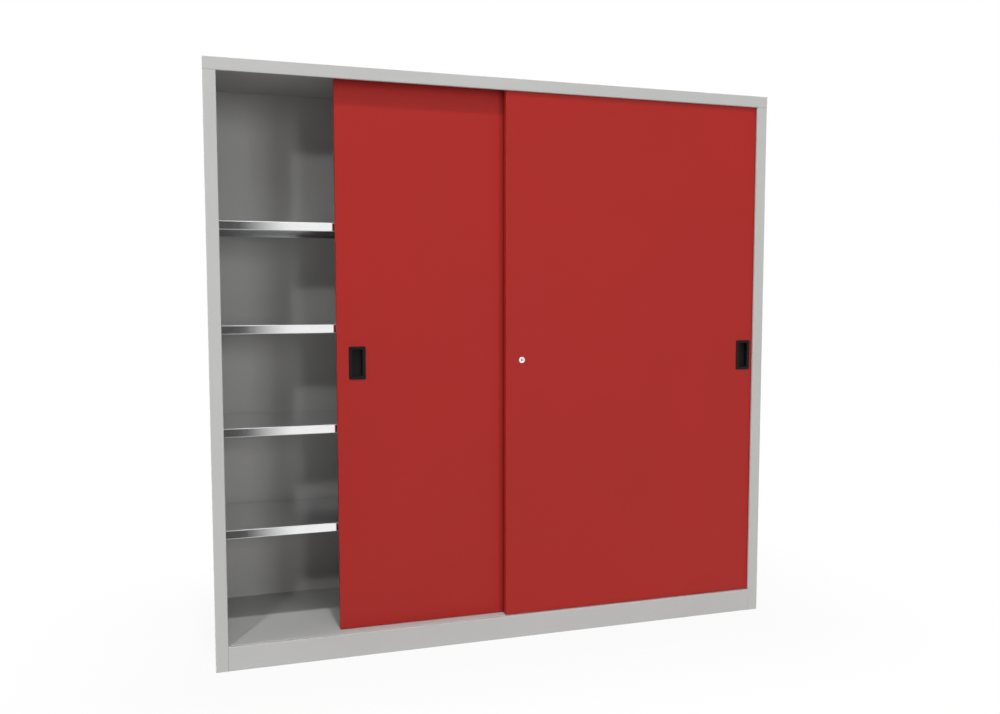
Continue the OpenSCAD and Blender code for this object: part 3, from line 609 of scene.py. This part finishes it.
def outline(half_w, half_h, along):
    """Points on a rectangle's outline, one for each of the lock's directions."""
    points = []
    for direction in circle(1.0, 0.0, LOCK_SIDES):
        reach = min(half_w / max(abs(direction.x), 1e-6), half_h / max(abs(direction.y), 1e-6))
        points.append(Vector((reach * direction.x, reach * direction.y, along)))
    return points


def oval(half_w, half_h, along):
    """Points of an ellipse round the Z axis."""
    return [Vector((half_w * point.x, half_h * point.y, along)) for point in circle(1.0, 0.0, LOCK_SIDES)]


plug = bmesh.new()
rings = [
    outline(TAIL_HALF, TAIL_HALF, -TAIL_END),
    outline(TAIL_HALF, TAIL_HALF, -PLUG_L),
    circle(PLUG_R, -PLUG_L, LOCK_SIDES),
    circle(PLUG_R, PLUG_OUT - 0.3 * MM, LOCK_SIDES),
    circle(PLUG_R - 0.3 * MM, PLUG_OUT, LOCK_SIDES),
    oval(KEY_OPENING[0] + 0.2 * MM, KEY_OPENING[1] + 0.2 * MM, PLUG_OUT),
    oval(*KEY_OPENING, PLUG_OUT - 0.2 * MM),
    oval(*KEY_OPENING, KEYHOLE_FLOOR_OUT),
    outline(*KEY_SLOT, KEYHOLE_FLOOR_OUT),
    outline(*KEY_SLOT, -KEY_SLOT_DEPTH),
]
loft(plug, [facing_front(ring) for ring in rings], LOCK, UP)
key_plug = piece("lock_key_plug", plug, lock_chrome, "lock", "lock_chrome", "lock_plug")
key_plug.data.materials.append(keyhole_shade)
# Faces in the key opening and its slot take the painted shade.
for face in key_plug.data.polygons:
    away = face.center - LOCK
    inside = abs(away.x) < KEY_OPENING[0] and abs(away.z) < KEY_OPENING[1]
    if inside and SLACK - PLUG_OUT < away.y < KEY_SLOT_DEPTH + SLACK:
        face.material_index = 1


# Stage: a pale floor that keeps the shadow, a white surround, small lamps that draw the shadows inside
# and soft ones in front, right, left and behind. None of it belongs to the part.
WHITE = (1.0, 1.0, 1.0, 1.0)
FLOOR_REACH = 9.0
FLOOR_PAINT = (0.65, 0.65, 0.65, 1.0)
FLOOR_WHITE = 0.90
SHADOW_REACH = 0.7
AMBIENT = 0.05
CARD_DARK = 0.08
CARD_X = (-1.75, -0.5)
CARD_Y = (-3.0, -1.0)
CARD_TOP = 3.0
CARD_LIFT = 4.0 * MM
UPRIGHT_CARD_FADE = (-0.83, -0.55)
FLOOR_CARD_FADE = (-0.86, -0.63)


def light_path(tree):
    """1 for camera, mirror and glass rays, 0 for the light that falls on the object."""
    path = add(tree, "ShaderNodeLightPath")
    seen = math_node(tree, "MAXIMUM", path.outputs["Is Camera Ray"], path.outputs["Is Glossy Ray"])
    return math_node(tree, "MAXIMUM", seen, path.outputs["Is Transmission Ray"])


def flat_face(name, corners, paint):
    """Four-cornered face of the stage."""
    mesh = bpy.data.meshes.new(name)
    mesh.from_pydata(corners, [], [(0, 1, 2, 3)])
    mesh.materials.append(paint)
    made = bpy.data.objects.new(name, mesh)
    bpy.context.scene.collection.objects.link(made)
    return made


world = bpy.data.worlds.new("surround")
bpy.context.scene.world = world
world.use_nodes = True
sky = world.node_tree.nodes["Background"]
level = ramp(world.node_tree, light_path(world.node_tree), 0.0, 1.0, AMBIENT, 1.0)
sky.inputs["Color"].default_value = WHITE
world.node_tree.links.new(level, sky.inputs["Strength"])

floor_paint = bpy.data.materials.new("studio floor")
floor_paint.use_nodes = True
tree = floor_paint.node_tree
matt = tree.nodes["Principled BSDF"]
matt.inputs["Base Color"].default_value = FLOOR_PAINT
matt.inputs["Roughness"].default_value = 1.0
matt.inputs["Specular IOR Level"].default_value = 0.0
glow = add(tree, "ShaderNodeEmission", {"Color": WHITE, "Strength": 1.0})
place = add(tree, "ShaderNodeTexCoord").outputs["Object"]
across = vector_node(tree, "ABSOLUTE", place).outputs["Vector"]
beyond = vector_node(tree, "SUBTRACT", across, tuple(cad_high)).outputs["Vector"]
outside = vector_node(tree, "MAXIMUM", beyond, (0.0, 0.0, 0.0)).outputs["Vector"]
away = vector_node(tree, "LENGTH", outside).outputs["Value"]
white = ramp(tree, away, 0.0, SHADOW_REACH, FLOOR_WHITE, 1.0)
share = math_node(tree, "MULTIPLY", light_path(tree), white)
mixed = add(tree, "ShaderNodeMixShader", {0: share, 1: matt.outputs[0], 2: glow.outputs[0]})
tree.links.new(mixed.outputs[0], tree.nodes["Material Output"].inputs["Surface"])
floor_corners = [
    (-FLOOR_REACH, -FLOOR_REACH, 0.0), (FLOOR_REACH, -FLOOR_REACH, 0.0),
    (FLOOR_REACH, FLOOR_REACH, 0.0), (-FLOOR_REACH, FLOOR_REACH, 0.0),
]
flat_face("studio_floor", floor_corners, floor_paint)


def lamp(name, place, target, size, power, mirrored):
    """Area light that looks at a target; the camera never sees it, and bright metal only if mirrored."""
    data = bpy.data.lights.new(name, "AREA")
    data.shape = "RECTANGLE"
    data.size = size[0]
    data.size_y = size[1]
    data.energy = power
    made = bpy.data.objects.new(name, data)
    bpy.context.scene.collection.objects.link(made)
    made.location = place
    made.rotation_euler = (Vector(target) - Vector(place)).to_track_quat("-Z", "Y").to_euler()
    made.visible_camera = False
    made.visible_glossy = mirrored


lamp("key", (-2.98, -4.1, 3.26), (0.0, -0.2, 1.0), (0.25, 0.25), 34.0, True)
lamp("over", (0.1, -9.8, 18.1), (0.0, -0.3, 0.9), (1.2, 1.2), 1230.0, False)
lamp("high", (-6.2, -9.8, 18.1), (0.0, -0.3, 0.9), (1.2, 1.2), 620.0, False)
lamp("low", (1.0, -9.6, 2.6), (0.0, -0.2, 1.0), (0.9, 2.5), 72.0, False)
lamp("front", (-0.7, -11.2, 12.6), (0.0, -0.3, 0.9), (5.3, 8.9), 445.0, True)
lamp("fill", (3.6, -9.0, 2.1), (0.0, -0.2, 1.0), (2.0, 3.2), 172.0, False)
lamp("left", (-7.6, -1.5, 2.4), (0.0, -0.2, 1.0), (2.5, 2.5), 180.0, False)
lamp("right", (7.2, 1.4, 2.4), (0.0, 0.0, 1.0), (2.5, 2.5), 150.0, False)
lamp("behind", (0.5, 6.0, 4.0), (0.0, 0.2, 1.0), (5.0, 3.0), 240.0, False)


def dark_card(name, corners, dark_x, white_x):
    """Card that only mirror rays see: dark up to one X, and from there fading into the white surround."""
    paint = bpy.data.materials.new(name)
    paint.use_nodes = True
    tree = paint.node_tree
    place = add(tree, "ShaderNodeSeparateXYZ", {0: add(tree, "ShaderNodeTexCoord").outputs["Object"]})
    tone = ramp(tree, place.outputs["X"], dark_x, white_x, CARD_DARK, 1.0)
    glow = add(tree, "ShaderNodeEmission", {"Color": WHITE, "Strength": tone})
    tree.links.new(glow.outputs[0], tree.nodes["Material Output"].inputs["Surface"])
    made = flat_face(name, corners, paint)
    made.visible_camera = False
    made.visible_diffuse = False
    made.visible_shadow = False
    made.visible_transmission = False


card_left, card_right = CARD_X
card_front, card_near = CARD_Y
upright_card = [
    (card_left, card_front, 0.0), (card_right, card_front, 0.0),
    (card_right, card_front, CARD_TOP), (card_left, card_front, CARD_TOP),
]
flat_card = [
    (card_left, card_front, CARD_LIFT), (card_right, card_front, CARD_LIFT),
    (card_right, card_near, CARD_LIFT), (card_left, card_near, CARD_LIFT),
]
dark_card("dark_card", upright_card, *UPRIGHT_CARD_FADE)
dark_card("floor_card", flat_card, *FLOOR_CARD_FADE)

camera_data = bpy.data.cameras.new("camera")
camera_data.lens = 32.31
camera_data.sensor_width = 36.0
camera = bpy.data.objects.new("camera", camera_data)
camera.location = (-0.9557, -3.2078, 1.2267)
camera.rotation_euler = (math.radians(85.844), 0.0, math.radians(-17.17))
bpy.context.scene.collection.objects.link(camera)
bpy.context.scene.camera = camera
bpy.context.scene.view_settings.view_transform = "Standard"
